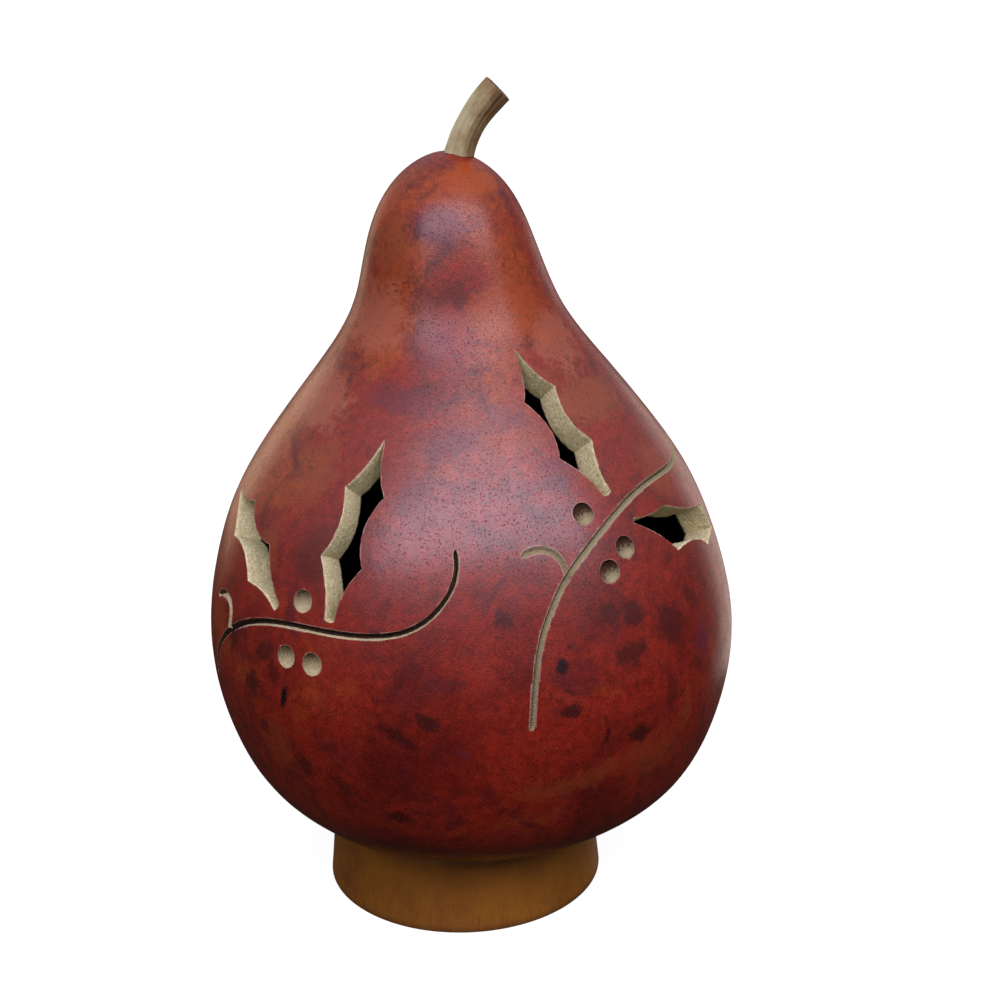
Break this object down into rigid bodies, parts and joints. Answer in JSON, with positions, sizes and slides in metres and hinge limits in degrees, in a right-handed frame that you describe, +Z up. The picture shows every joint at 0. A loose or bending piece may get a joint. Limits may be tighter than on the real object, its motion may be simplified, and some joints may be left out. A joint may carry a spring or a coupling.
{
  "type": "carved bottle gourd lantern",
  "caption": "Hollow dried bottle gourd carved with holly sprigs that let light through, with its dried stem, standing on a foot ring.",
  "frame": {"origin": "on the surface that it stands on, under the middle of the gourd's body", "axes": "+Z up towards the stem, -Y is the front, whose two holly sprigs face the viewer, and the stem leans to +X"},
  "size_m": [0.1998, 0.1998, 0.3105],
  "materials": {
    "dyed_gourd": "satin",
    "dried_stem": "matte",
    "stained_gourd": "satin"
  },
  "bodies": {
    "root": {"gourd_shell": "dyed_gourd", "stem": "dried_stem", "foot_ring": "stained_gourd"}
  },
  "joints": []
}
